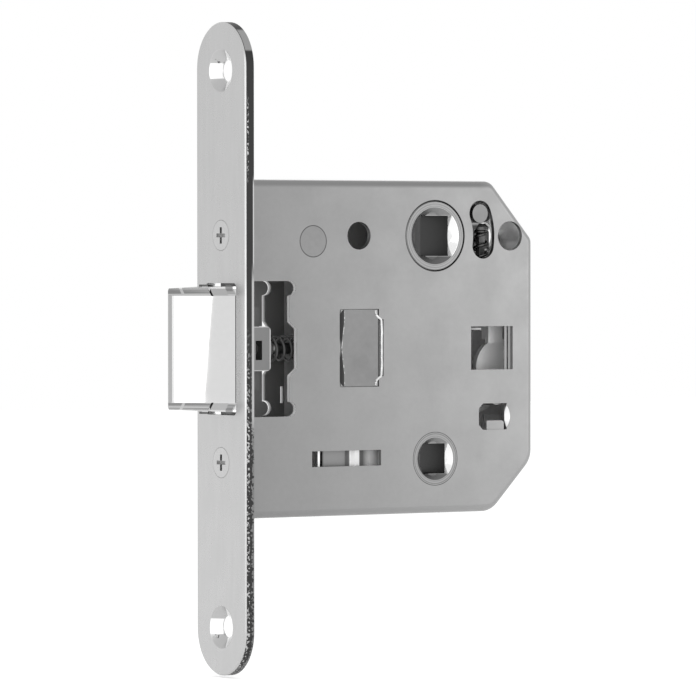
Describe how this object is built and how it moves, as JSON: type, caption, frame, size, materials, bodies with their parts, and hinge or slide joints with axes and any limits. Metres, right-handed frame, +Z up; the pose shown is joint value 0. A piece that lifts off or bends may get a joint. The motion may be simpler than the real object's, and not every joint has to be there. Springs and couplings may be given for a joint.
{
  "type": "mortice spring latch with privacy turn",
  "caption": "Mortice spring latch with a round-ended forend, a sprung bevelled latch, a lever follower and a smaller privacy follower in a flat pressed case.",
  "frame": {"origin": "centre of the forend's front face, midway between its two fixing holes", "axes": "+X from the forend into the door (the latch points to -X), +Y across the door's thickness away from the bevel, +Z up"},
  "size_m": [0.0802, 0.018, 0.128],
  "materials": {
    "forend_nickel": "satin nickel plate on steel",
    "case_zinc": "bright zinc plate on pressed steel",
    "latch_nickel": "polished nickel plate on a cast latch",
    "block_zinc": "plain cast zinc",
    "follower_zinc": "plain cast zinc, smooth",
    "inner_steel": "bare pressed steel, lightly oiled",
    "rivet_steel": "staked steel",
    "screw_steel": "nickel plated screw",
    "spring_steel": "drawn spring wire",
    "strap_steel": "bright spring strip"
  },
  "bodies": {
    "case": {"forend": "forend_nickel", "forend_screw_upper": "screw_steel", "forend_screw_lower": "screw_steel", "fixing_block_upper": "inner_steel", "fixing_block_lower": "inner_steel", "case_pan": "case_zinc", "case_cover": "case_zinc", "case_rivet": "rivet_steel", "guide_block": "block_zinc", "spring_seat": "inner_steel", "lever_pivot": "rivet_steel", "friction_strap": "strap_steel", "return_spring": "spring_steel", "latch_spring": "spring_steel"},
    "latch": {"latch_bolt": "latch_nickel", "latch_stem": "inner_steel", "latch_tail": "inner_steel"},
    "follower": {"lever_follower": "follower_zinc", "arm_pin": "rivet_steel"},
    "rod": {"push_rod": "inner_steel", "push_rod_head": "inner_steel"},
    "crank": {"draw_lever": "inner_steel", "pull_pin": "rivet_steel", "push_pin": "rivet_steel"},
    "privacy": {"turn_follower": "follower_zinc"}
  },
  "joints": [
    {"name": "lever_turn", "type": "hinge", "parent": "case", "child": "follower", "pos_m": [0.047, 0, 0.0222], "axis": [0, 1, 0], "range_deg": [0, 32], "stiffness_Nm_per_rad": 0.5, "springref_deg": -20.05},
    {"name": "latch_slide", "type": "slide", "parent": "case", "child": "latch", "axis": [1, 0, 0], "range_m": [0, 0.0092], "deforming": ["latch_spring"]},
    {"name": "rod_slide", "type": "slide", "parent": "case", "child": "rod", "axis": [0, 0, -1], "range_m": [0, 0.00792], "deforming": ["return_spring"]},
    {"name": "crank_turn", "type": "hinge", "parent": "case", "child": "crank", "pos_m": [0.0515, 0, -0.014], "axis": [0, 1, 0], "range_deg": [0, 38.37]},
    {"name": "privacy_turn", "type": "hinge", "parent": "case", "child": "privacy", "pos_m": [0.047, 0, -0.0223], "axis": [0, 1, 0], "range_deg": [0, 90]}
  ],
  "couplings": [
    {"joint": "latch_slide", "follows": "lever_turn", "m_per_rad": 0.016472},
    {"joint": "rod_slide", "follows": "lever_turn", "m_per_rad": 0.014168},
    {"joint": "crank_turn", "follows": "lever_turn", "ratio": 1.1989}
  ]
}
